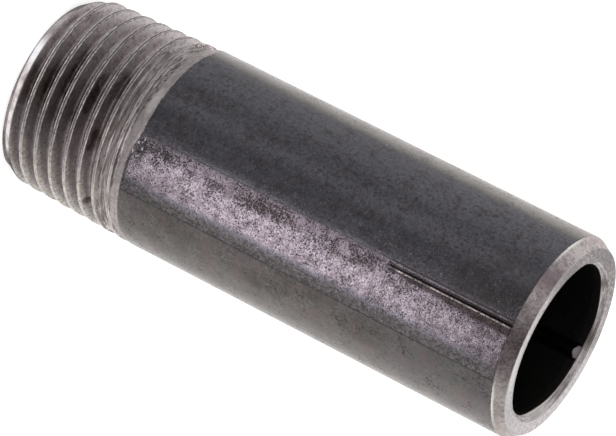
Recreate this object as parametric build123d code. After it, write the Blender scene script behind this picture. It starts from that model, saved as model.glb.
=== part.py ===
from build123d import *
from build123d import SkipClean
import math
import os

# Weld nipple, size 1/2, cut from medium weight black steel pipe.
# Millimetres. It stands on its threaded end, and its axis is +Z.

# The pipe it is cut from
length = 60.0
outside_radius = 10.65
wall = 2.6
bore_radius = outside_radius - wall

# Taper pipe thread: 14 turns to the inch, 55 degree form, 1 in 16 on the diameter.
# Crests and roots are cut off flat, each a sixth of the pitch wide at full form.
pitch = 25.4 / 14
flank_angle = 27.5
taper = 1 / 32
thread_depth = 0.6403 * pitch
form_flat = pitch / 6
# The blank is first turned down by this much at its end, and runs out to the pipe's surface.
turned_depth = 0.485
turned_radius = outside_radius - turned_depth
# Full form would reach this far above the turned blank, so every crest keeps a wider flat.
form_excess = 0.055
form_radius = turned_radius + form_excess
# The cutter stands this far clear of full form, less than half a crest flat in width.
cutter_clearance = 0.12
# Height of the crest in line with +X, nearest the threaded end
first_crest_height = 1.384
# The last grooves get shallower, and end at this height.
runout_end = 15.3
runout_slope = 0.255
runout_depth = thread_depth + 0.34

# Lead chamfer of the threaded end
lead_depth = 1.8
lead_slope = 0.8
lead_face_radius = outside_radius - lead_depth

# Weld end: a bevel outside, a flat land, and a broken edge inside
bevel_length = 1.3
bevel_depth = 0.744
inner_bevel_length = 0.545
inner_bevel_depth = 0.507

# Weld seam of the pipe: a low rounded bead along the inside of the bore
bead_angle = 89.0
bead_width = 1.7
bead_height = 0.95
bead_foot = 0.1
bead_trim = 0.9

# Drawn score in the outside, opening towards the weld end
score_angle = -86.0
score_length = 15.94
score_width = 0.35
score_depth = 0.22

# How far cutting solids stand out past what they cut
overcut = 0.5


def ring(points):
    """A solid turned from a closed outline of (radius, height) points."""
    outline = Polyline(*[(radius, 0, height) for radius, height in points], close=True)
    return revolve(make_face(outline), Axis.Z, 360)


def pipe_blank():
    """The pipe with both ends turned, before the thread is cut."""
    turned_end = turned_depth / taper
    lead_end = (turned_radius - lead_face_radius) / (lead_slope - taper)
    return ring([
        (bore_radius, 0),
        (lead_face_radius, 0),
        (lead_face_radius + lead_slope * lead_end, lead_end),
        (outside_radius, turned_end),
        (outside_radius, length - bevel_length),
        (outside_radius - bevel_depth, length),
        (bore_radius + inner_bevel_depth, length),
        (bore_radius, length - inner_bevel_length),
    ])


def groove_section(root_radius, centre_height):
    """One groove of the thread, seen along the axis: a flat root between two flanks."""
    reach = thread_depth + cutter_clearance
    half_root = form_flat / 2
    half_mouth = half_root + reach * math.tan(math.radians(flank_angle))
    return make_face(Polyline(
        (root_radius, 0, centre_height - half_root),
        (root_radius, 0, centre_height + half_root),
        (root_radius + reach, 0, centre_height + half_mouth),
        (root_radius + reach, 0, centre_height - half_mouth),
        close=True,
    ))


def thread_groove():
    """The helical groove at full depth, running past both ends of the thread."""
    first_groove = first_crest_height - 2.5 * pitch
    turns = math.ceil((runout_end - first_groove) / pitch) + 1
    root_radius = form_radius - thread_depth + first_groove * taper
    path = Helix(
        pitch=pitch,
        height=turns * pitch,
        radius=root_radius,
        center=(0, 0, first_groove),
        cone_angle=math.degrees(math.atan(taper)),
    )
    return sweep(groove_section(root_radius, first_groove), path, is_frenet=True)


def runout_core():
    """What the groove may not cut: a cone that widens until no depth is left."""
    start = runout_end - runout_depth / runout_slope
    past = runout_end + 4 * pitch
    rim = outside_radius + wall
    return ring([
        (0, start),
        (outside_radius - runout_depth, start),
        (outside_radius, runout_end),
        (rim, runout_end),
        (rim, past),
        (0, past),
    ])


def threaded_pipe():
    """The pipe with its thread, cut as two half rounds that are then joined."""
    blank = pipe_blank()
    groove = thread_groove()
    core = runout_core()
    reach = 2 * outside_radius
    sides = []
    for turn in (0, 180):
        half_space = Rot(0, 0, turn) * Box(
            2 * reach, reach, 4 * length, align=(Align.CENTER, Align.MIN, Align.CENTER)
        )
        cutter = (groove & half_space) - (core & half_space)
        sides.append((blank & half_space) - cutter)
    return sides[0] + sides[1]


def seam_bead():
    """The rounded bead on the wall of the bore, trimmed back at the weld end."""
    side = bead_width / 2
    foot = bore_radius - bead_foot
    back = bore_radius + overcut
    outline = make_face([
        Line((back, -side), (foot, -side)),
        ThreePointArc((foot, -side), (bore_radius - bead_height, 0), (foot, side)),
        Line((foot, side), (back, side)),
        Line((back, side), (back, -side)),
    ])
    return Rot(0, 0, bead_angle) * extrude(outline, length - bead_trim)


def score_cutter():
    """A thin wedge, deeper and wider towards the weld end."""
    top = outside_radius + overcut
    slope = score_width / 2 / score_depth
    sections = []
    for height, depth in ((length - score_length, 0), (length, score_depth)):
        half = (overcut + depth) * slope
        sections.append(make_face(Polyline(
            (outside_radius - depth, 0, height),
            (top, -half, height),
            (top, half, height),
            close=True,
        )))
    return Rot(0, 0, score_angle) * loft(sections, ruled=True)


# Faces stay as they are cut, so no crest is merged into one strip of many turns.
with SkipClean():
    nipple = threaded_pipe()
    nipple = nipple + seam_bead()
    nipple = nipple - score_cutter()
nipple = nipple.solids()[0] if len(nipple.solids()) == 1 else nipple
nipple.label = "weld_nipple"

os.makedirs("parts", exist_ok=True)
export_step(nipple, "parts/weld_nipple.step")
box = nipple.bounding_box()
print("solids", len(nipple.solids()), "valid", nipple.is_valid)
print("size", box.size, "volume", round(nipple.volume, 1))
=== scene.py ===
import math
from types import SimpleNamespace

import bpy
from mathutils import Matrix, Vector


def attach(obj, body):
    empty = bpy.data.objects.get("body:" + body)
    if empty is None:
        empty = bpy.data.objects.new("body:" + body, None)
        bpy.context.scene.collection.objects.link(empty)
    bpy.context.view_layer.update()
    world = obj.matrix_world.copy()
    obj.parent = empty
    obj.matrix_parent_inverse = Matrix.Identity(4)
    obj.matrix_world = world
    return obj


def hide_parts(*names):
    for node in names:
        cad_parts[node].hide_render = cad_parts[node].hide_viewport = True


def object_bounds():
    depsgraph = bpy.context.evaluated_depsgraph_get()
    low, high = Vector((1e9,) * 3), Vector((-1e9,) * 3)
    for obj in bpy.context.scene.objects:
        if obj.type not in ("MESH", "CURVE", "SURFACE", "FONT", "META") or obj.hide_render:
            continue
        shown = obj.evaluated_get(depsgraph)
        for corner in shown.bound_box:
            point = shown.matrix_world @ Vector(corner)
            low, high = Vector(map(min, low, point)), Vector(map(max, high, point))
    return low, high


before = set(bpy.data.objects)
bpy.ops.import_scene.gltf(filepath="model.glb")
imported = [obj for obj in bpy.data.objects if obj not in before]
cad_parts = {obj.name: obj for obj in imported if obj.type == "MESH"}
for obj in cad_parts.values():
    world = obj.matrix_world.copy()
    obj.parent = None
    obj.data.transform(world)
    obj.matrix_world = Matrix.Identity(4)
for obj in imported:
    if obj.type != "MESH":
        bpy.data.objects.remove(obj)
cad_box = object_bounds()

# Sizes are in millimetres, as a fitter reads them; MM turns them into metres.
MM = 0.001

pipe_length = (cad_box[1][2] - cad_box[0][2]) / MM
outside_radius = (cad_box[1][0] - cad_box[0][0]) / MM / 2
wall = 2.6
bore_radius = outside_radius - wall

# Taper pipe thread, 14 turns to the inch, right hand
pitch = 25.4 / 14
taper = 1 / 32
flank_angle = math.radians(27.5)
flank_slope = math.tan(flank_angle)
thread_depth = 0.6403 * pitch
root_rounding = 0.1373 * pitch
form_excess = 0.055
crest_drop = 0.485
first_crest = 1.384
crest_rounding = 0.05
groove_rounding = 0.06
runout_end = 15.3
runout_slope = 0.255

# The turned blank is a little off centre, so it runs out further on one side.
turned_end = 15.08
turned_further = 0.45
turned_far_side = -124
turned_full = 33
turned_fade = 52
blank_rounding = 0.02

# The lead chamfer was turned off centre too: it is shorter toward one side.
lead_length = 1.55
lead_top_radius = outside_radius - 0.47
lead_face_radius = outside_radius - 1.53
lead_off_centre = 0.4
lead_near_side = -38
lead_spread = 80
lead_rounding = 0.08

# Weld end
bevel_start = 58.7
bevel_depth = 0.744
inner_bevel_length = 0.545
inner_bevel_depth = 0.507
edge_rounding = 0.06
bore_rounding = 0.05

# Wander of the weld end's edges: centre and width in degrees, and how far in millimetres
bevel_start_wander = [(-115, 40, -0.17), (-15, 28, 0.22)]
inner_reach_wander = [(25, 22, 0.26), (116, 16, -0.15)]
inner_depth_wander = [(-90, 60, 0.14)]

# Seam bead inside the bore
bead_angle = math.radians(89)
bead_half_width = 0.85
bead_height = 0.95
bead_trim = 0.9

# Score along the outside: a main groove and a shallower one beside it
score_start = 44.83
score_end = 58.56
score_angle = -85.85
side_score_angle = -87.1
score_half_width = 0.12
score_depth = 0.16
side_score_depth = 0.07

# Marks on the surface: height, angle in degrees, half height, half width in degrees, strength
oil_stains = [
    (3.9, -90, 0.95, 27, 1), (5.7, -104, 0.95, 27, 1), (5.8, -74, 0.6, 14, 1),
    (2.2, -84, 0.8, 20, 1), (10.6, -107, 0.6, 15, 1), (10.7, -72, 0.6, 13, 1),
    (4.0, -148, 0.35, 7, 1), (4.3, -52, 0.25, 4, 1), (8.6, -96, 0.5, 20, 1),
    (7.5, -78, 0.5, 14, 1), (10.8, -28, 0.5, 5, 1), (13.1, -18, 0.5, 5, 1),
    (12.8, -152, 0.6, 8, 1), (1.8, -136, 0.4, 12, 1),
]
soiled_patches = [
    (21.5, -49, 5, 9, 1), (32.5, -42, 4, 9, 1), (44, -43, 4.5, 12, 0.8), (37, -51, 5, 5, 0.8),
]
handled_patches = [(30, -82, 7, 5, 1), (41, -80, 4.5, 5, 1), (20.5, -68, 3.6, 6, 0.7)]
browned_patch = [(56, -100, 8, 24, 1)]
chipped_patch = [(15.6, -81, 1.2, 9, 1)]
# A painted highlight on the turned band, given like the marks above
highlight_patch = [(14.95, -106, 0.7, 11, 1)]
smeared_patch = [(14.3, -120, 0.4, 32, 1)]
cracked_patch = [(13.6, -160, 1.1, 12, 1)]

# Heights where the last turns begin to be torn, and where the turned band shows its tool marks
torn_from = 11.4
torn_full = 12.6
tool_marks_from = 14.15
tool_marks_full = 14.45

# The dull run beside the pale band, between two painted dark reflection lines along the pipe
dull_run_low = -61.2
dull_run_high = -54.7

# Light card on the table beside the nipple, and the strip of the pipe that mirrors it
band_low = -88.3
band_high = -61.2
card_near = 37.0
card_far = 180.0
card_height = 1.0
card_strength = 2.9

# The table as the steel mirrors it, and as the camera sees it
table_reach = 3000
table_glow = 0.62
table_paint = 0.86

# Lamp above and to the left of the camera, with its power in watts
lamp_width = 900
lamp_power = 0.5
lamp_place = (-450, -550, 750)

# Camera, fitted to the photograph
camera_sensor = 36
camera_lens = 260.37
camera_clip = 10
camera_elevation = 22.2945
camera_roll = 116.9807
camera_place = (0.375, -405.233, 196.947)


def smooth_step(low, high, value):
    """0 below low, 1 above high, and a soft rise between them."""
    share = min(max((value - low) / (high - low), 0.0), 1.0)
    return share * share * (3 - 2 * share)


def soft_min(first, second, rounding):
    """The smaller of two lengths, rounded where they cross."""
    overlap = max(rounding - abs(first - second), 0.0) / rounding
    return min(first, second) - overlap * overlap * rounding / 4


def soft_max(first, second, rounding):
    """The larger of two lengths, rounded where they cross."""
    return -soft_min(-first, -second, rounding)


def angle_between(angle, other):
    """The turn from other to angle, from -pi to pi."""
    return (angle - other + math.pi) % (2 * math.pi) - math.pi


def turn_from(angle, side):
    """How many degrees an angle in radians lies from a side in degrees, either way."""
    return abs(math.degrees(angle_between(angle, math.radians(side))))


def wander(angle, bumps):
    """The sum of soft bumps at this angle, each with its centre, width and height."""
    shares = [math.exp(-(turn_from(angle, centre) / width) ** 2) for centre, width, _ in bumps]
    return sum(share * height for share, (_, _, height) in zip(shares, bumps))


def turned_edge(angle):
    """Height at which the turned blank runs out to the pipe's own surface."""
    turn = turn_from(angle, turned_far_side)
    return turned_end + turned_further * (1 - smooth_step(turned_full, turned_fade, turn))


def lead_radius(height, angle):
    """The lead chamfer at the thread's end."""
    off_centre = 1 - smooth_step(0, lead_spread, turn_from(angle, lead_near_side))
    face = lead_face_radius + lead_off_centre * off_centre
    return face + (lead_top_radius - face) * height / lead_length


def bevel_edge(angle):
    """Height at which the weld bevel starts, which wanders round the pipe."""
    return bevel_start + wander(angle, bevel_start_wander)


def blank_radius(height, angle):
    """The pipe with its end turned down, before it is threaded."""
    turned = outside_radius - (turned_edge(angle) - height) * taper
    return soft_min(turned, outside_radius, blank_rounding)


def groove_radius(height, angle):
    """The bottom of the helical groove at this height and angle."""
    crests_up = (height - first_crest) / pitch - angle / (2 * math.pi)
    from_crest = abs(crests_up - round(crests_up)) * pitch
    from_root = pitch / 2 - from_crest
    nominal = outside_radius - crest_drop + form_excess + height * taper - thread_depth
    tangent = root_rounding * math.cos(flank_angle)
    rise = root_rounding * (1 - math.sin(flank_angle))
    if from_root < tangent:
        lift = root_rounding - math.sqrt(root_rounding ** 2 - from_root ** 2)
    else:
        lift = rise + (from_root - tangent) / flank_slope
    return nominal + lift


def groove_cut(angle, centre, depth):
    """Depth of one V groove along the pipe, with its centre at an angle in degrees."""
    across = angle_between(angle, math.radians(centre)) * outside_radius
    return max(1 - abs(across) / score_half_width, 0.0) * depth


def score_cut(height, angle):
    """Depth of the score below the pipe's surface."""
    reach = smooth_step(score_start - 0.1, score_start + 0.3, height)
    deeper = smooth_step(score_start, score_end, height)
    main = groove_cut(angle, score_angle, score_depth * (0.6 + 0.4 * deeper))
    side = groove_cut(angle, side_score_angle, side_score_depth * (0.3 + 0.7 * deeper))
    return (main + side) * reach


def outer_radius(height, angle):
    """The outside of the nipple at this height and angle."""
    radius = blank_radius(height, angle)
    if height < runout_end + 0.5:
        core = outside_radius - (runout_end - height) * runout_slope
        groove = soft_max(groove_radius(height, angle), core, groove_rounding)
        radius = soft_min(radius, groove, crest_rounding)
        radius = soft_min(radius, lead_radius(height, angle), lead_rounding)
    if height > score_start - 0.2:
        radius -= score_cut(height, angle)
        edge = bevel_edge(angle)
        fall = bevel_depth / (pipe_length - edge)
        bevel = outside_radius - (height - edge) * fall
        radius = soft_min(radius, bevel, edge_rounding)
    return radius


def bead_lift(angle, height):
    """How far the seam bead stands into the bore; it is slightly uneven along it."""
    across = angle_between(angle, bead_angle) * bore_radius
    if abs(across) > bead_half_width * 1.2:
        return 0.0
    uneven = 0.05 * math.sin(height * 0.9) + 0.03 * math.sin(height * 2.3 + 1)
    shape = math.exp(-(abs(across - uneven * 0.5) / (bead_half_width * 0.58)) ** 3)
    end = smooth_step(pipe_length - bead_trim + 0.2, pipe_length - bead_trim - 0.05, height)
    return (bead_height + uneven) * shape * end


def inner_radius(height, angle):
    """The bore, opened by the inner bevel at the weld end, with the bead on its wall."""
    reach = inner_bevel_length + wander(angle, inner_reach_wander)
    depth = inner_bevel_depth + wander(angle, inner_depth_wander)
    opened = bore_radius + (height - (pipe_length - reach)) * depth / reach
    return soft_max(bore_radius, opened, bore_rounding) - bead_lift(angle, height)


def column_angles():
    """Angles of the mesh columns, closer together at the score and the bead."""
    angles = [math.radians(step) for step in range(-180, 180)]
    fine = [math.radians(score_angle + step * 0.15) for step in range(-16, 9)]
    fine += [bead_angle + math.radians(step * 0.5) for step in range(-20, 21)]
    kept = []
    for angle in sorted(angles + fine):
        if not kept or angle - kept[-1] > math.radians(0.07):
            kept.append(angle)
    return kept


def groove_stations():
    """Places across one pitch, measured from a crest, close together at its edges."""
    flat = pitch / 6 / 2 + form_excess * flank_slope
    root = pitch / 2
    half = [flat * 0.55, flat * 0.9, flat * 1.12, flat * 1.4]
    half += [root * 0.42, root * 0.6, root - 0.24, root - 0.13]
    return [-station for station in reversed(half)] + [0.0] + half + [root]


class Skin:
    """Vertices and faces, with points that meet stored once."""

    def __init__(self):
        self.points = []
        self.faces = []
        self.known = {}

    def point(self, radius, angle, height):
        """The number of this point, which is stored the first time it is asked for."""
        place = (radius * math.cos(angle), radius * math.sin(angle), height)
        key = tuple(round(value, 4) for value in place)
        if key not in self.known:
            self.known[key] = len(self.points)
            self.points.append(tuple(value * MM for value in place))
        return self.known[key]

    def face(self, corners):
        """A face from corners in order, dropped where it has shrunk to a line."""
        loop = [corner for place, corner in enumerate(corners) if corner != corners[place - 1]]
        if len(set(loop)) > 2:
            self.faces.append(loop)

    def mesh(self, name):
        """The skin as a smooth-shaded mesh in metres."""
        data = bpy.data.meshes.new(name)
        data.from_pydata(self.points, [], self.faces)
        data.validate()
        data.polygons.foreach_set("use_smooth", [True] * len(data.polygons))
        data.update()
        return data


def add_threaded_end(skin, angles, top):
    """A sheet that winds up the thread, cut off level at both ends."""
    stations = groove_stations()
    rows = []
    for turn in range(-2, math.ceil(top / pitch) + 2):
        for station in stations:
            rows.append(first_crest + turn * pitch + station)
    grid = []
    for row in rows:
        ring = []
        for angle in angles:
            height = row + pitch * angle / (2 * math.pi)
            height = min(max(height, 0.0), top)
            ring.append(skin.point(outer_radius(height, angle), angle, height))
        grid.append(ring)
    count = len(angles)
    for row in range(len(grid) - 1):
        for column in range(count - 1):
            skin.face([
                grid[row][column], grid[row][column + 1],
                grid[row + 1][column + 1], grid[row + 1][column],
            ])
        after = row + len(stations)
        if after + 1 < len(grid):
            skin.face([
                grid[row][count - 1], grid[after][0],
                grid[after + 1][0], grid[row + 1][count - 1],
            ])


def add_rings(skin, angles, rings):
    """Rings joined into one sheet; each ring gives radius, angle and height at an angle."""
    grid = [[skin.point(*ring(angle)) for angle in angles] for ring in rings]
    for low, high in zip(grid, grid[1:]):
        for column in range(len(angles)):
            before = column - 1
            skin.face([low[before], low[column], high[column], high[before]])


def at_outside(height):
    """A level ring on the outside."""
    return lambda angle: (outer_radius(height, angle), angle, height)


def near_bevel(share):
    """A ring that follows the bevel's start: so many mm below it, or a share of the way up."""
    def ring(angle):
        edge = bevel_edge(angle)
        height = edge + share * (pipe_length - edge) if share > 0 else edge + share
        return (outer_radius(height, angle), angle, height)
    return ring


def at_inside(height):
    """A level ring in the bore."""
    return lambda angle: (inner_radius(height, angle), angle, height)


def on_face(height, share):
    """A ring part of the way across the flat end, from outside to inside."""
    def ring(angle):
        outside = outer_radius(height, angle)
        inside = inner_radius(height, angle)
        return (outside + (inside - outside) * share, angle, height)
    return ring


def make_nipple():
    """The whole nipple as one closed skin: thread, outside, weld end, bore, thread end."""
    skin = Skin()
    angles = column_angles()
    plain_start = runout_end + 1.2
    add_threaded_end(skin, angles, plain_start)

    heights = [plain_start, 20, 26, 32, 38, score_start - 0.4, score_start - 0.1]
    heights += [score_start, score_start + 0.1, score_start + 0.2, score_start + 0.3]
    heights += [46, 48, 50, 52, 54, 56, 57.2]
    rings = [at_outside(height) for height in heights]
    rings += [near_bevel(share) for share in (-0.5, -0.2, -0.06, 0.0, 0.05, 0.15, 0.4, 0.7, 0.9)]
    rings += [on_face(pipe_length, share) for share in (0.0, 0.04, 0.35, 0.65, 0.96, 1.0)]
    depths = [step * 0.08 for step in range(1, 16)] + [1.4, 1.8, 2.4, 3.2, 4.4, 6, 8]
    inside = [pipe_length - depth for depth in depths]
    inside += [49, 46, 42, 38, 34, 30, 25, 20, 15, 10, 5, 0]
    rings += [at_inside(height) for height in inside]
    rings += [on_face(0.0, share) for share in (0.66, 0.33, 0.0)]
    add_rings(skin, angles, rings)

    piece = bpy.data.objects.new("steel_nipple", skin.mesh("steel_nipple"))
    bpy.context.collection.objects.link(piece)
    return piece


class Wire:
    """A socket that can be used in sums; each sum adds its Math node."""

    def __init__(self, bench, socket):
        self.bench = bench
        self.socket = socket

    def _math(self, operation, *values):
        """The result of one Math node."""
        return self.bench.node("ShaderNodeMath", {"operation": operation}, *values)

    def __add__(self, other):
        return self._math("ADD", self, other)

    def __radd__(self, other):
        return self._math("ADD", other, self)

    def __sub__(self, other):
        return self._math("SUBTRACT", self, other)

    def __rsub__(self, other):
        return self._math("SUBTRACT", other, self)

    def __mul__(self, other):
        return self._math("MULTIPLY", self, other)

    def __rmul__(self, other):
        return self._math("MULTIPLY", other, self)

    def __truediv__(self, other):
        return self._math("DIVIDE", self, other)

    def __rtruediv__(self, other):
        return self._math("DIVIDE", other, self)

    def __neg__(self):
        return self._math("MULTIPLY", self, -1.0)

    def __abs__(self):
        return self._math("ABSOLUTE", self)

    def __pow__(self, power):
        return self._math("POWER", self, power)


class Bench:
    """Adds nodes to one material or world."""

    def __init__(self, tree):
        self.tree = tree
        tree.nodes.clear()

    def node(self, kind, settings=None, *values, output=0, **named):
        """A node of this kind, with its settings set first and then its sockets.

        It gives back one output, or a list of them where output is a list of names.
        """
        node = self.tree.nodes.new(kind)
        for name, value in (settings or {}).items():
            setattr(node, name, value)
        for place, value in enumerate(values):
            self._feed(node.inputs[place], value)
        for name, value in named.items():
            self._feed(self._socket(node, name), value)
        if isinstance(output, list):
            return [Wire(self, node.outputs[name]) for name in output]
        return Wire(self, node.outputs[output]) if len(node.outputs) else None

    def _socket(self, node, name):
        """The input with this name, such as base_color for Base Color."""
        label = name.replace("_", " ").title()
        return next(each for each in node.inputs if each.identifier.replace("_", " ") == label)

    def _feed(self, socket, value):
        """Link a wire to the socket, or set the socket to a plain value."""
        if isinstance(value, Wire):
            self.tree.links.new(value.socket, socket)
        elif value is not None:
            if socket.type == "RGBA" and len(value) == 3:
                value = (*value, 1.0)
            socket.default_value = value

    def step(self, value, low, high):
        """0 below low and 1 above high, with a soft rise; low may be above high."""
        settings = {"interpolation_type": "SMOOTHSTEP"}
        return self.node("ShaderNodeMapRange", settings, value, low, high, 0.0, 1.0)

    def mix(self, share, first, second):
        """A colour part of the way from first to second."""
        return self.node(
            "ShaderNodeMix", {"data_type": "RGBA"}, output=2,
            factor_float=share, a_color=first, b_color=second,
        )

    def blend(self, share, first, second):
        """A number part of the way from first to second."""
        return share * (second - first) + first

    def most(self, first, second):
        """The larger of two values."""
        return self.node("ShaderNodeMath", {"operation": "MAXIMUM"}, first, second)

    def bearing(self, north, east):
        """The angle of a direction, in radians."""
        return self.node("ShaderNodeMath", {"operation": "ARCTAN2"}, north, east)

    def stretch(self, vector, across, along):
        """Coordinates scaled across the axis and along it."""
        settings = {"operation": "MULTIPLY"}
        return self.node("ShaderNodeVectorMath", settings, vector, (across, across, along))

    def scale(self, vector, factor):
        """A colour or a vector, made larger or smaller."""
        settings = {"operation": "SCALE"}
        return self.node("ShaderNodeVectorMath", settings, vector=vector, scale=factor)

    def noise(self, vector, scale, detail=2.0, roughness=0.5, distortion=0.0):
        """Cloudy noise, about 0.5 in the middle."""
        return self.node(
            "ShaderNodeTexNoise", {"noise_dimensions": "3D"}, vector=vector, scale=scale,
            detail=detail, roughness=roughness, distortion=distortion,
        )


class Place:
    """Where a point of the pipe's surface lies, as nodes, in millimetres and radians."""

    def __init__(self, bench):
        self.bench = bench
        metres = bench.node("ShaderNodeTexCoord", output=3)
        self.point = bench.scale(metres, 1 / MM)
        east, north, self.height = bench.node(
            "ShaderNodeSeparateXYZ", None, self.point, output=["X", "Y", "Z"]
        )
        self.radius = (east * east + north * north) ** 0.5
        self.angle = bench.bearing(north, east)

    def past(self, low, high):
        """0 at one angle in degrees, rising to 1 at another; low may be above high."""
        return self.bench.step(self.angle, math.radians(low), math.radians(high))

    def above(self, low, high):
        """0 at one height in millimetres, rising to 1 at another; low may be above high."""
        return self.bench.step(self.height, low, high)

    def facing(self, centre, width):
        """1 in line with this angle in degrees, falling to 0 a width away."""
        turn = abs(self.angle - math.radians(centre))
        return self.bench.step(turn, math.radians(width), 0.0)

    def strip(self, centre, half_width, softness=0.05):
        """1 on a strip along the pipe, at an angle in degrees; its half width is in mm."""
        across = abs(self.angle - math.radians(centre)) * outside_radius
        return self.bench.step(across, half_width + softness, half_width)

    def between(self, low, high, softness=1.0):
        """1 between two angles in degrees."""
        past_low = self.past(low - softness / 2, low + softness / 2)
        return past_low * self.past(high + softness / 2, high - softness / 2)

    def patches(self, marks):
        """1 in the middle of an oval mark, falling to 0 at its edge; the strongest mark counts."""
        ovals = []
        for height, centre, half_height, half_angle, strength in marks:
            up = (self.height - height) / half_height
            round_pipe = (self.angle - math.radians(centre)) / math.radians(half_angle)
            oval = self.bench.step(up * up + round_pipe * round_pipe, 1.0, 0.0)
            ovals.append(oval if strength == 1 else oval * strength)
        strongest = ovals[0]
        for oval in ovals[1:]:
            strongest = self.bench.most(strongest, oval)
        return strongest

    def noise(self, scale, detail=2.0, roughness=0.5, distortion=0.0):
        """Noise in the metal, the same in every direction."""
        return self.bench.noise(self.point, scale, detail, roughness, distortion)

    def along_noise(self, around, along, detail=3.0, roughness=0.6):
        """Noise drawn out, with its own scale around the pipe and along it."""
        vector = self.bench.stretch(self.point, around, along)
        return self.bench.noise(vector, 1.0, detail, roughness)


def blue_scale(bench, at, speckle):
    """The blue-black scale of the pipe's middle, with painted light as paler runs along it."""
    mix, step = bench.mix, bench.step
    streaks = at.along_noise(1.1, 0.07)
    colour = mix(step(streaks, 0.3, 0.7), (0.106, 0.104, 0.119), (0.140, 0.137, 0.152))
    # Painted reflection and painted highlight: paler runs toward the top and at -112 degrees
    painted_light_runs = at.facing(-136, 19) * 0.8 + at.facing(-112, 9) * 0.55
    colour = mix(painted_light_runs, colour, (0.180, 0.176, 0.196))
    rubbed = step(at.noise(0.8, 4.0, 0.7), 0.50, 0.66)
    colour = mix(rubbed * 0.65, colour, (0.080, 0.069, 0.068))
    colour = mix(step(speckle, 0.50, 0.38) * 0.8, colour, (0.060, 0.055, 0.059))
    return mix(step(speckle, 0.53, 0.68) * 0.55, colour, (0.25, 0.245, 0.26))


def clay_scale(bench, at, speckle, clouds, top_side):
    """The browner, greyer scale toward the pipe's two sides."""
    mix, step = bench.mix, bench.step
    clay = mix(step(clouds, 0.36, 0.62), (0.124, 0.114, 0.112), (0.176, 0.167, 0.160))
    clay = mix(step(speckle, 0.50, 0.38) * 0.7, clay, (0.066, 0.059, 0.057))
    clay = mix(step(speckle, 0.54, 0.68) * 0.5, clay, (0.27, 0.255, 0.245))
    rubbed = step(at.noise(0.9, 4.0, 0.7), 0.52, 0.66)
    clay = mix(rubbed * 0.6, clay, (0.085, 0.075, 0.070))
    # Painted reflection: lighter on the top side
    return mix(top_side * 0.35, clay, (0.25, 0.235, 0.23))


def side_tints(bench, at, colour, low_side, outer_sides):
    """Olive, grey and mauve casts on the sides, and soiled patches."""
    mix, step = bench.mix, bench.step
    olive = step(at.noise(0.36, 3.0, 0.6), 0.50, 0.62) * low_side
    colour = mix(olive * 0.45, colour, (0.112, 0.114, 0.096))
    greyer = at.above(40, 50) * low_side
    colour = mix(greyer * 0.45, colour, (0.132, 0.134, 0.137))
    mauve = step(at.noise(0.42, 3.0, 0.6, 0.4), 0.50, 0.62) * outer_sides
    colour = mix(mauve * 0.55, colour, (0.168, 0.134, 0.138))
    soiled = at.patches(soiled_patches) * step(at.noise(1.0, 5.0, 0.75), 0.34, 0.58)
    return mix(soiled * 0.5, colour, (0.072, 0.063, 0.056))


def lilac_scale(bench, at, grain):
    """The grainy scale of the pale band, partly the scale's own rubbed strip and partly painted
    highlight, duller at its upper edge and toward the bevel.
    """
    mix, step = bench.mix, bench.step
    drifts = at.noise(1.1, 4.0, 0.7)
    lit = grain * 0.6 + drifts * 0.4
    lilac = mix(step(lit, 0.39, 0.61), (0.092, 0.075, 0.085), (0.315, 0.287, 0.308))
    lilac = mix(step(drifts, 0.46, 0.34) * 0.45, lilac, (0.095, 0.076, 0.078))
    toward_bevel = at.above(49, 59) * step(drifts, 0.66, 0.36)
    lilac = mix(toward_bevel * 0.85, lilac, (0.092, 0.074, 0.080))
    return mix(at.past(-75, -87) * 0.66, lilac, (0.098, 0.085, 0.096))


def dull_run(bench, at, colour, speckle):
    """The dull run below the pale band, with a painted dark reflection line along each edge."""
    mix, step = bench.mix, bench.step
    dull = mix(step(speckle, 0.40, 0.62), (0.078, 0.072, 0.074), (0.220, 0.209, 0.211))
    colour = mix(at.between(dull_run_low, dull_run_high, 0.7) * 0.9, colour, dull)
    # Painted dark reflections: a thin line along each edge of the run
    lines = at.strip(dull_run_high, 0.05) + at.strip(dull_run_low + 0.6, 0.03) * 0.5
    return mix(lines * 0.6, colour, (0.035, 0.033, 0.035))


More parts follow.
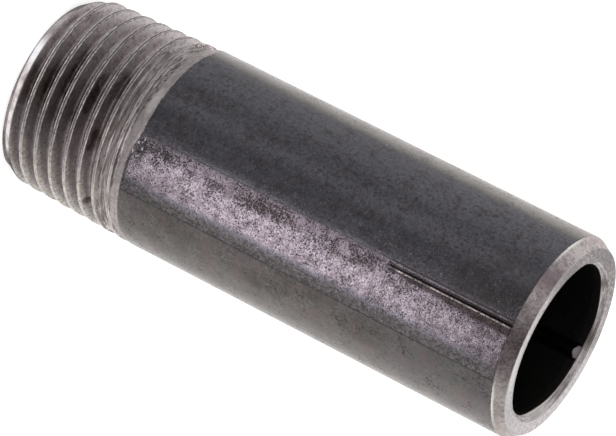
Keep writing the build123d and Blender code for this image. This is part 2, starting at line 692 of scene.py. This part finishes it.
def mill_scale(bench, at):
    """The rolled skin of the pipe: blue-black, pitted, with drawn-out streaks."""
    mix, step = bench.mix, bench.step
    grain = at.noise(5.0, 4.0, 0.8) * 0.45 + at.noise(10.0, 2.0, 0.6) * 0.55
    speckle = at.noise(3.0, 4.0, 0.85)
    clouds = at.noise(0.45, 4.0, 0.6)
    crowd = at.noise(0.5, 3.0, 0.6)

    low_side = at.past(-56.2, -53.2) * at.past(100, 30)
    top_side = bench.most(at.past(-148, -158), at.past(130, 178))
    outer_sides = bench.most(low_side, top_side)
    # The pale band: partly the scale's own rubbed strip, partly painted highlight where the pipe
    # mirrors the card
    rubbed_and_highlighted = at.between(-88.5, -50) * at.past(-61, -66.5)

    colour = blue_scale(bench, at, speckle)
    clay = clay_scale(bench, at, speckle, clouds, top_side)
    colour = mix(outer_sides * 0.9, colour, clay)
    colour = side_tints(bench, at, colour, low_side, outer_sides)
    browned = at.patches(browned_patch) * step(clouds, 0.3, 0.6)
    colour = mix(browned * 0.6, colour, (0.068, 0.058, 0.056))
    colour = mix(rubbed_and_highlighted * 0.95, colour, lilac_scale(bench, at, grain))
    handled = at.patches(handled_patches) * step(at.noise(1.6, 4.0, 0.75), 0.36, 0.58)
    colour = mix(handled * 0.7, colour, (0.062, 0.045, 0.044))
    colour = dull_run(bench, at, colour, speckle)

    smudge_field = at.noise(2.4, 4.0, 0.8) + at.facing(-51, 9) * 0.03 + (crowd - 0.5) * 0.35
    smudges = step(smudge_field, 0.55, 0.72) * (0.35 + outer_sides * 0.65)
    colour = mix(smudges * 0.65, colour, (0.045, 0.040, 0.037))
    pit_run = at.facing(-82, 8) * step(crowd, 0.36, 0.56)
    pit_field = at.noise(5.6, 3.0, 0.7, 0.5) * 0.65 + at.noise(12.0, 2.0, 0.6) * 0.35
    pit_field = pit_field + crowd * 0.20 + pit_run * 0.05 + rubbed_and_highlighted * 0.02
    pits = step(pit_field, 0.650, 0.735)
    pit_strength = 0.45 + bench.most(rubbed_and_highlighted, low_side) * 0.3
    colour = mix(pits * pit_strength, colour, (0.020, 0.018, 0.018))
    flakes = step(at.noise(2.6, 2.0, 0.5, 0.4), 0.715, 0.76)
    colour = mix(flakes * 0.55, colour, (0.38, 0.36, 0.36))

    # Chips where the die lifted the scale beside the thread, and painted glints among them
    chipped = step(at.patches(chipped_patch), 0.0, 0.5)
    chips = chipped * step(at.noise(3.0, 2.0, 0.6, 1.0), 0.48, 0.54)
    colour = mix(chips * 0.85, colour, (0.026, 0.022, 0.022))
    glints = chipped * step(at.noise(3.6, 2.0, 0.5, 0.5), 0.60, 0.64)
    colour = mix(glints * 0.9, colour, (0.95, 0.92, 0.92))

    roughness = 0.14 + grain * 0.07 + pits * 0.25 + smudges * 0.1
    relief = grain * (0.25 + rubbed_and_highlighted * 0.55) - pits * 0.9 - chips * 0.8 + clouds * 1.2
    return colour, roughness, relief


def scored_scale(bench, at, colour):
    """Scale dragged and stained along the score, with painted shade in its groove and a painted
    highlight on its lip.
    """
    mix, step = bench.mix, bench.step
    along = at.above(score_start - 0.05, score_start + 0.05)
    toward_end = at.above(score_start, score_end)
    drift = (at.noise(1.2, 3.0, 0.6) - 0.5) * math.radians(2.2)
    depth_below = (math.radians(-84.2) - at.angle + drift) * (180 / math.pi)
    stain = step(depth_below, -2.0 - toward_end * 3.6, -0.6 - toward_end * 2.6)
    stain = stain * step(depth_below, 1.2, 0.6) * along
    colour = mix(stain * 0.86, colour, (0.026, 0.019, 0.017))
    worn = at.between(-89.6, -87.6, 0.6) * along
    colour = mix(worn * 0.55, colour, (0.080, 0.076, 0.080))
    hairline = at.strip(-88.8, 0.025, 0.05) * along
    colour = mix(hairline * 0.6, colour, (0.022, 0.017, 0.017))
    dragged = at.between(-87.5, -85.2, 0.6) * (0.6 + toward_end * 0.4) * along
    colour = mix(dragged * 0.8, colour, (0.028, 0.022, 0.022))
    # Painted shade darkens the groove, and a painted highlight runs along its lip
    groove = at.strip(score_angle, 0.04, 0.08) * along
    colour = mix(groove * 0.95, colour, (0.010, 0.007, 0.007))
    flicker = step(at.along_noise(3.0, 2.2, 2.0), 0.40, 0.62)
    bright = at.strip(score_angle + 1.2, 0.03, 0.06) * (0.25 + flicker * 0.75) * along
    colour = mix(bright * 0.85, colour, (0.42, 0.38, 0.35))
    cross_line = step(abs(at.height - score_start), 0.09, 0.03) * at.between(-86.5, -74, 2.0)
    return mix(cross_line * 0.6, colour, (0.030, 0.026, 0.030))


def crest_steel(bench, at, from_crest, cut_lines, mottle, painted_light_side):
    """A crest's flat, with painted highlights along its edges, and all over it on one side."""
    mix, step = bench.mix, bench.step
    crest = mix(cut_lines, (0.11, 0.092, 0.090), (0.34, 0.305, 0.30))
    wobble = (at.noise(1.4, 4.0, 0.7) - 0.5) * 0.24
    # Painted highlights along both crest edges; the worn noise only varies how strong they are
    low_edge_highlight = step(abs(from_crest + wobble + 0.15), 0.10, 0.02)
    high_edge_highlight = step(abs(from_crest + wobble - 0.14), 0.09, 0.02)
    worn = step(at.noise(0.9, 4.0, 0.7), 0.36, 0.58)
    edge_highlights = low_edge_highlight * (0.35 + worn * 0.65) + high_edge_highlight * (1 - worn * 0.6)
    highlight_beige = mix(step(mottle, 0.35, 0.65), (0.60, 0.550, 0.510), (0.92, 0.87, 0.82))
    crest = mix(painted_light_side * 0.85, crest, highlight_beige)
    return mix(edge_highlights * (1 - painted_light_side * 0.4), crest, (1.0, 0.965, 0.95))


def flank_steel(bench, at, fine_lines, mottle, painted_light_side):
    """The groove's flanks, with painted shade in the middle and painted reflection paler toward
    both sides.
    """
    mix, step = bench.mix, bench.step
    reflected_pale = (0.86, 0.79, 0.80)
    flank = mix(step(mottle, 0.3, 0.7), (0.40, 0.350, 0.362), (0.72, 0.655, 0.660))
    flank = mix(step(fine_lines, 0.40, 0.65) * 0.45, flank, (0.30, 0.262, 0.268))
    # Painted shade dims the middle, and painted reflection pales both sides
    flank = mix(at.facing(-86, 46) * 0.66, flank, (0.155, 0.126, 0.116))
    flank = mix(at.facing(-136, 18) * 0.45 + at.facing(-106, 10) * 0.14, flank, reflected_pale)
    flank = mix(painted_light_side * 0.32, flank, (0.24, 0.232, 0.226))
    return mix(at.past(-132, -160) * 0.6, flank, reflected_pale)


def torn_turns(bench, at, colour):
    """The last turns, which are torn; it also gives back where the dark tears are."""
    mix, step = bench.mix, bench.step
    torn = at.above(torn_from, torn_full)
    frayed = at.along_noise(0.38, 5.5, 4.0, 0.8)
    lines = mix(step(frayed, 0.40, 0.58), (0.15, 0.122, 0.118), (0.92, 0.865, 0.845))
    colour = mix(torn * 0.62, colour, lines)
    dark_tears = step(at.along_noise(0.8, 5.0, 4.0, 0.75), 0.56, 0.64) * torn
    return mix(dark_tears * 0.75, colour, (0.070, 0.050, 0.043)), dark_tears


def turned_band(bench, at, colour, band, cut_lines, mottle):
    """The turned band between the thread and the scale, with its tool marks."""
    mix, step = bench.mix, bench.step
    turned = mix(step(mottle, 0.3, 0.7), (0.34, 0.300, 0.300), (0.62, 0.565, 0.56))
    turned = mix(step(cut_lines, 0.5, 0.62) * 0.4, turned, (0.26, 0.225, 0.225))
    colour = mix(band * 0.85, colour, turned)
    # Painted highlight on the turned band
    colour = mix(at.patches(highlight_patch) * 0.5, colour, (0.95, 0.91, 0.88))
    smear = at.patches(smeared_patch) * step(mottle, 0.47, 0.57)
    cracks = at.patches(cracked_patch) * step(at.noise(2.6, 3.0, 0.6, 1.0), 0.52, 0.58)
    return mix(bench.most(smear, cracks) * 0.85, colour, (0.070, 0.050, 0.044))


def threaded_steel(bench, at, blank_edge):
    """Oily cut steel of the thread and the turned band behind it."""
    mix, step = bench.mix, bench.step
    depth = outside_radius - (blank_edge - at.height) * taper - at.radius
    crests_up = (at.height - first_crest) / pitch - at.angle / (2 * math.pi)
    nearest = bench.node("ShaderNodeMath", {"operation": "ROUND"}, crests_up)
    from_crest = (crests_up - nearest) * pitch
    cut_lines = at.along_noise(0.12, 9.0, 3.0, 0.75)
    fine_lines = at.along_noise(0.5, 16.0, 2.0, 0.6)
    mottle = at.noise(2.2, 4.0, 0.7)
    # On this side painted highlight widens over the crests and painted shade dims the flanks
    painted_light_side = at.past(-74, -44)

    crest = crest_steel(bench, at, from_crest, cut_lines, mottle, painted_light_side)
    flank = flank_steel(bench, at, fine_lines, mottle, painted_light_side)
    crest_reach = 0.12 + painted_light_side * 0.42
    on_crest = step(depth, crest_reach, crest_reach * 0.4)
    colour = mix(on_crest, flank, crest)
    grit = step(at.noise(3.4, 4.0, 0.8), 0.50, 0.34)
    colour = mix(grit * 0.6, colour, (0.085, 0.065, 0.058))
    streaked = step(at.along_noise(0.35, 2.6, 4.0, 0.75), 0.54, 0.66) * at.past(-114.6, -134.6)
    colour = mix(streaked * 0.6, colour, (0.16, 0.115, 0.105))

    oil = at.patches(oil_stains)
    ragged_oil = step(oil + (at.along_noise(0.9, 2.0, 5.0, 0.75) - 0.5) * 2.6, 0.15, 1.25)
    ragged_oil = ragged_oil * step(oil, 0.0, 0.5) * step(depth, 0.02, 0.25)
    colour = mix(ragged_oil * 0.85, colour, (0.045, 0.028, 0.017))

    colour, dark_tears = torn_turns(bench, at, colour)
    band = at.above(tool_marks_from, tool_marks_full)
    colour = turned_band(bench, at, colour, band, cut_lines, mottle)

    roughness = 0.36 + cut_lines * 0.14 - ragged_oil * 0.12
    relief = cut_lines + fine_lines * 0.5 - dark_tears * 0.6 + mottle * 0.6
    metallic = 0.98 - band * 0.22
    return colour, roughness, metallic, relief


def lead_steel(bench, at, colour):
    """The lead chamfer at the thread's end, with a painted highlight in the middle; with where
    painted shade darkens it toward both sides.
    """
    mix, step = bench.mix, bench.step
    side_shade = (0.12, 0.097, 0.088)
    face = lead_face_radius + lead_off_centre * at.facing(lead_near_side, lead_spread)
    chamfer = face + (lead_top_radius - face) * at.height / lead_length
    lead = step(chamfer - at.radius, 0.10, 0.03) * at.above(lead_length + 0.25, lead_length)
    uneven = at.noise(0.8, 4.0, 0.65)
    bare = mix(step(uneven, 0.36, 0.64), (0.58, 0.525, 0.515), (1.0, 0.94, 0.93))
    # Painted highlight in the middle of the chamfer
    bare = mix(bench.most(at.facing(-105, 11), at.facing(-99, 9)), bare, (1.0, 0.985, 1.0))
    # Painted shade darkens the chamfer toward both sides and beside the highlight
    shaded_sides = at.past(-120, -148) * 0.85 + at.past(-44, -27) * 0.96
    bare = mix(at.facing(-121, 16) * 0.65, bare, side_shade)
    bare = mix(shaded_sides, bare, side_shade)
    bare = mix(at.facing(-85, 7) * 0.35, bare, (0.11, 0.088, 0.078))
    ragged_lip = step(at.noise(3.0, 3.0, 0.6), 0.45, 0.58)
    lip = step(abs(at.height - lead_length), 0.25, 0.10) * ragged_lip
    bare = mix(lip * 0.6, bare, (0.14, 0.105, 0.090))
    # Painted dark reflection along the chamfer's bottom rim
    edge = at.above(0.26, 0.12)
    bare = mix(edge * 0.9, bare, (0.035, 0.030, 0.032))
    return mix(lead, colour, bare), lead * shaded_sides


def bevel_steel(bench, at, patchy, fine):
    """The outer weld bevel: ground and spotted, with painted shade toward the score and painted
    highlights on two sides.
    """
    mix, step = bench.mix, bench.step
    blotch = step(patchy * 0.35 + fine * 0.65, 0.38, 0.62)
    dragged = step(at.along_noise(3.0, 0.8, 4.0, 0.8), 0.36, 0.64)
    bevel = mix(blotch * 0.6 + dragged * 0.4, (0.34, 0.275, 0.288), (0.93, 0.84, 0.835))
    # Painted shade: darker toward the score
    bevel_shade = at.facing(-78, 40)
    bevel = mix(bevel_shade * (1.0 - blotch * 0.2), bevel, (0.100, 0.078, 0.079))
    bevel = mix(at.facing(-118, 16) * 0.8, bevel, (0.24, 0.180, 0.200))
    # Painted highlights on two sides
    bevel = mix(at.facing(-145, 14) * 0.6 + at.facing(-46, 8) * 0.35, bevel, (1.0, 0.93, 0.92))
    bevel = mix(at.facing(-34, 8) * 0.3, bevel, (0.20, 0.17, 0.15))
    bevel = mix(at.past(-62, -50) * 0.25, bevel, (0.62, 0.60, 0.50))
    rust = step(at.noise(2.6, 4.0, 0.7), 0.55, 0.66)
    return mix(rust * 0.5, bevel, (0.17, 0.115, 0.085))


def land_steel(bench, at, strokes):
    """The flat land, with a painted highlight on the near side, duller on the far one, and painted
    shade toward the bore.
    """
    mix, step = bench.mix, bench.step
    land = mix(step(strokes, 0.36, 0.66), (0.60, 0.555, 0.55), (0.94, 0.895, 0.885))
    # Painted highlight on the near side
    land = mix(at.facing(-60, 24) * 0.5, land, (1.0, 0.98, 0.97))
    far_side = step(abs(at.angle), math.radians(88), math.radians(140))
    dull_strokes = 0.35 + step(strokes, 0.66, 0.36) * 0.55
    land = mix(far_side * dull_strokes, land, (0.20, 0.172, 0.165))
    dull_spots = at.facing(101, 14) * 0.55 + at.facing(172, 28) * 0.55
    dull_spots = dull_spots + at.facing(-172, 20) * 0.45 + at.facing(-130, 24) * 0.65
    dull_spots = dull_spots + at.facing(-25, 30) * 0.15
    land = mix(dull_spots, land, (0.27, 0.245, 0.245))
    # Painted shade toward the bore, where the inner edge is rounded
    inner_edge_shade = step(at.radius, bore_radius + 1.15, bore_radius + 0.5) * at.facing(-90, 75)
    return mix(inner_edge_shade * 0.7, land, (0.16, 0.15, 0.155))


def inner_bevel_steel(bench, at, rings, patchy):
    """The inner bevel, with rings left by the cutter and a painted highlight on the lip at the
    bore.
    """
    mix, step = bench.mix, bench.step
    ringed = step(rings * 0.7 + patchy * 0.3, 0.40, 0.60)
    inner = mix(ringed, (0.36, 0.310, 0.315), (0.92, 0.86, 0.85))
    inner = mix(at.facing(28, 22) * 0.6, inner, (0.86, 0.80, 0.82))
    stained = at.facing(102, 15) * 0.85 + at.facing(148, 8) * 0.7
    inner = mix(stained, inner, (0.16, 0.125, 0.115))
    inner = mix(at.facing(60, 16) * 0.4, inner, (0.22, 0.185, 0.19))
    # Painted highlight along the lip at the bore
    lip = step(at.radius, bore_radius + 0.15, bore_radius + 0.07)
    lip = lip * (at.facing(30, 40) + at.facing(128, 24))
    return mix(lip * 0.8, inner, (1.0, 0.95, 0.84))


def weld_end_steel(bench, at, zones):
    """Cut steel of the weld bevel, the land and the inner bevel."""
    mix, step = bench.mix, bench.step
    patchy = at.noise(1.5, 4.0, 0.7)
    fine = at.noise(4.0, 4.0, 0.75)
    strokes = at.along_noise(2.4, 2.4, 4.0, 0.75)
    rings = at.along_noise(0.35, 9.0, 3.0, 0.7)
    bevel = bevel_steel(bench, at, patchy, fine)
    land = land_steel(bench, at, strokes)
    inner = inner_bevel_steel(bench, at, rings, patchy)
    colour = mix(zones.face, mix(zones.mouth, bevel, inner), land)

    # Painted highlights on two sides, where the bevel meets the land and where it starts
    edge_gleam = step(abs(at.radius - (outside_radius - bevel_depth)), 0.07, 0.02)
    edge_gleam = edge_gleam * (at.facing(-122, 42) + at.facing(-42, 40))
    colour = mix(edge_gleam * 0.8, colour, (0.95, 0.92, 0.88))
    start_gleam = step(abs(at.height - zones.bevel_line - 0.10), 0.17, 0.06) * zones.outside
    start_gleam = start_gleam * (at.facing(-143, 22) + at.facing(-38, 26)) * 0.9
    colour = mix(start_gleam, colour, (1.0, 0.97, 0.92))

    relief = patchy * 1.6 + fine * 0.8 + strokes * zones.face * 1.2 + rings * zones.mouth * 1.5
    roughness = 0.40 + fine * 0.12
    metallic = 0.95 - zones.mouth * 0.35 - start_gleam * 0.7
    return colour, roughness, metallic, relief


def find_zones(bench, at):
    """Where each finish lies, from 0 to 1, with the two wandering edges between them."""
    step = bench.step
    ragged = at.noise(2.5, 4.0, 0.7) - 0.5
    off_side = abs(at.angle - math.radians(turned_far_side))
    further = step(off_side, math.radians(turned_fade), math.radians(turned_full))
    blank_edge = turned_end + turned_further * further
    scale_edge = blank_edge + ragged * 0.4
    threaded = step(at.height, scale_edge + 0.04, scale_edge - 0.04)

    outside = step(at.radius, bore_radius + 0.62, bore_radius + 0.68)
    bevel_line = bevel_start - 0.15 * at.facing(-115, 75) + 0.2 * at.facing(-15, 50)
    bevel_line = bevel_line + ragged * 0.14
    bevelled = step(at.height, bevel_line - 0.02, bevel_line + 0.05) * outside
    face = at.above(pipe_length - 0.06, pipe_length - 0.01)
    in_bore = step(at.radius, bore_radius + 0.03, bore_radius - 0.01)
    mouth = at.above(pipe_length - 1.4, pipe_length - 1.3) * (1 - outside) * (1 - in_bore)

    bead_cut = pipe_length - bead_trim
    bead_end = at.above(bead_cut - 0.12, bead_cut - 0.04) * in_bore
    bead_top = step(at.radius, bore_radius - 0.05, bore_radius - 0.16)
    bead_middle = math.degrees(bead_angle)
    bead_foot = at.between(bead_middle - 4.5, bead_middle + 4.5)
    bead_end = bead_end * bench.most(bead_top, bead_foot)
    return SimpleNamespace(
        blank_edge=blank_edge, threaded=threaded, outside=outside, bevel_line=bevel_line,
        weld_end=bench.most(bevelled, bench.most(mouth, face)), face=face, mouth=mouth,
        in_bore=in_bore, bead_end=bead_end,
    )


def make_steel():
    """Black pipe steel: mill scale, with bare cut metal at both ends."""
    material = bpy.data.materials.new("black_pipe_steel")
    material.use_nodes = True
    bench = Bench(material.node_tree)
    mix, blend = bench.mix, bench.blend
    at = Place(bench)
    zones = find_zones(bench, at)

    scale_colour, scale_roughness, scale_relief = mill_scale(bench, at)
    scale_colour = scored_scale(bench, at, scale_colour)
    thread_colour, thread_roughness, thread_metal, thread_relief = threaded_steel(
        bench, at, zones.blank_edge
    )
    thread_colour, shaded_sides = lead_steel(bench, at, thread_colour)
    thread_roughness = thread_roughness + shaded_sides * 0.45
    thread_metal = thread_metal - shaded_sides * 0.75
    end_colour, end_roughness, end_metal, end_relief = weld_end_steel(bench, at, zones)

    colour = mix(zones.threaded, scale_colour, thread_colour)
    colour = mix(zones.weld_end, colour, end_colour)
    # The bore's dark scale, darkened further as painted shade
    colour = mix(zones.in_bore, colour, (0.011, 0.009, 0.007))
    colour = mix(zones.bead_end, colour, (0.30, 0.25, 0.27))
    roughness = blend(zones.threaded, scale_roughness, thread_roughness)
    roughness = blend(zones.weld_end, roughness, end_roughness)
    roughness = blend(zones.in_bore, roughness, 0.55)
    metallic = blend(zones.threaded, 0.8, thread_metal)
    metallic = blend(zones.weld_end, metallic, end_metal)
    metallic = blend(zones.in_bore, metallic, 1.0 - zones.bead_end * 0.5)
    relief = blend(zones.threaded, scale_relief, thread_relief)
    relief = blend(zones.weld_end, relief, end_relief)

    bump = bench.node("ShaderNodeBump", None, strength=0.6, distance=0.03 * MM, height=relief)
    shader = bench.node(
        "ShaderNodeBsdfPrincipled", None, base_color=colour, roughness=roughness,
        metallic=metallic, normal=bump,
    )
    bench.node("ShaderNodeOutputMaterial", None, surface=shader)
    return material


def lay_sheet(name, finish, corners):
    """A flat four-cornered sheet; gives it back with the bench of its new material."""
    data = bpy.data.meshes.new(name)
    data.from_pydata(corners, [], [(0, 1, 2, 3)])
    sheet = bpy.data.objects.new(name, data)
    bpy.context.collection.objects.link(sheet)
    material = bpy.data.materials.new(finish)
    material.use_nodes = True
    data.materials.append(material)
    return sheet, Bench(material.node_tree)


def table_sheen(bench):
    """How bright and of what colour the table is where the steel mirrors it.

    It is white from beside the card round behind the nipple, with a dim room on the other side.
    """
    node, step = bench.node, bench.step
    metres = node("ShaderNodeTexCoord", output=3)
    east, north = node("ShaderNodeSeparateXYZ", None, metres, output=["X", "Y"])
    from_foot = (east * east + north * north) ** 0.5 / MM
    degrees = 180 / math.pi
    from_east = bench.bearing(north, east) * degrees
    from_west = bench.bearing(-north, -east) * degrees

    white_side = step(from_east, -25, -22) * step(from_east, 156, 136)
    dim = 0.26 + step(from_west, 65, 52) * 0.13 + step(from_west, 26, 8) * 0.10
    dim = dim + step(from_west, 0, -20) * 0.16
    dim = dim + step(from_east, -38, -34) * step(from_west, 120, 150) * 0.30
    bright = 0.82 + step(from_east, -20, 22) * 0.28
    sheen = bench.blend(white_side, dim, bright)
    under_foot = step(from_foot, 17, 11.5)
    sheen = bench.blend(under_foot, sheen, 1.0)
    tint = bench.mix(white_side, (1.0, 0.99, 1.0), (1.0, 0.965, 0.94))
    return bench.scale(tint, sheen)


def make_floor():
    """A pale table that keeps the nipple's shadow; in reflections it glows as painted reflection,
    white on one side.
    """
    near, far = -table_reach * MM, table_reach * MM
    corners = [(near, near, 0), (far, near, 0), (far, far, 0), (near, far, 0)]
    floor, bench = lay_sheet("table", "white_table", corners)
    node = bench.node
    camera, glossy, clear = node(
        "ShaderNodeLightPath", output=["Is Camera Ray", "Is Glossy Ray", "Is Transmission Ray"]
    )
    mirrored = node("ShaderNodeEmission", None, color=table_sheen(bench), strength=1.0)
    glow = node("ShaderNodeEmission", None, color=(1, 1, 1), strength=camera * table_glow)
    matt = node("ShaderNodeBsdfDiffuse", None, color=(table_paint, table_paint, table_paint))
    table = node("ShaderNodeAddShader", None, matt, glow)
    surface = node("ShaderNodeMixShader", None, bench.most(glossy, clear), table, mirrored)
    node("ShaderNodeOutputMaterial", None, surface=surface)


def card_edge(edge_angle, distance):
    """A point beside the nipple that a strip of the pipe at this angle mirrors to the camera."""
    turn = math.radians(edge_angle)
    away = 2 * turn + math.pi / 2
    east = outside_radius * math.cos(turn) + distance * math.cos(away)
    north = outside_radius * math.sin(turn) + distance * math.sin(away)
    return (east * MM, north * MM, card_height * MM)


def make_light_card():
    """A lit card lying beside the nipple, which gives the long pale band on the pipe."""
    corners = [
        card_edge(band_low, card_near), card_edge(band_high, card_near),
        card_edge(band_high, card_far), card_edge(band_low, card_far),
    ]
    card, bench = lay_sheet("light_card", "lit_card", corners)
    light = bench.node("ShaderNodeEmission", None, color=(1.0, 0.93, 1.0), strength=card_strength)
    bench.node("ShaderNodeOutputMaterial", None, surface=light)
    card.visible_camera = False
    card.visible_shadow = False


def make_world():
    """White to the camera; for reflections, bright behind the nipple and dark overhead."""
    world = bpy.data.worlds.new("studio")
    bpy.context.scene.world = world
    world.use_nodes = True
    bench = Bench(world.node_tree)
    node = bench.node
    camera, glossy = node("ShaderNodeLightPath", output=["Is Camera Ray", "Is Glossy Ray"])
    heading = node("ShaderNodeTexCoord", output=0)
    north, up = node("ShaderNodeSeparateXYZ", None, heading, output=["Y", "Z"])
    behind = bench.most(north, 0.0)
    room = 0.07 + bench.step(up, 0.95, 0.6) * 0.4 + behind * behind * 0.6
    strength = camera + (1 - camera) * (glossy * room + (1 - glossy) * 0.75)
    light = node("ShaderNodeBackground", None, color=(1, 1, 1), strength=strength)
    node("ShaderNodeOutputWorld", None, surface=light)


def make_lamp():
    """One broad soft lamp above and to the left of the camera."""
    lamp = bpy.data.lights.new("soft_lamp", "AREA")
    lamp.shape = "DISK"
    lamp.size = lamp_width * MM
    lamp.energy = lamp_power
    holder = bpy.data.objects.new("soft_lamp", lamp)
    bpy.context.collection.objects.link(holder)
    holder.location = Vector(lamp_place) * MM
    aim = Vector((0, 0, pipe_length * MM / 2)) - holder.location
    holder.rotation_euler = aim.to_track_quat("-Z", "Y").to_euler()


def make_camera():
    """The photograph's camera, turned on its side as the pipe lies there."""
    camera = bpy.data.cameras.new("camera")
    camera.sensor_width = camera_sensor
    camera.lens = camera_lens
    camera.clip_start = camera_clip * MM
    holder = bpy.data.objects.new("camera", camera)
    bpy.context.collection.objects.link(holder)
    elevation = math.radians(camera_elevation)
    roll = math.radians(camera_roll)
    back = Vector((0, -math.cos(elevation), math.sin(elevation)))
    level = Vector((1, 0, 0))
    upright = level.cross(-back)
    right = math.cos(roll) * level + math.sin(roll) * upright
    up = -math.sin(roll) * level + math.cos(roll) * upright
    turn = Matrix((right, up, back)).transposed().to_4x4()
    holder.matrix_world = Matrix.Translation(Vector(camera_place) * MM) @ turn
    bpy.context.scene.camera = holder


make_camera()
nipple = make_nipple()
nipple.data.materials.append(make_steel())
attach(nipple, "root")
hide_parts("weld_nipple")
make_floor()
make_light_card()
make_world()
make_lamp()
bpy.context.scene.view_settings.view_transform = "Standard"
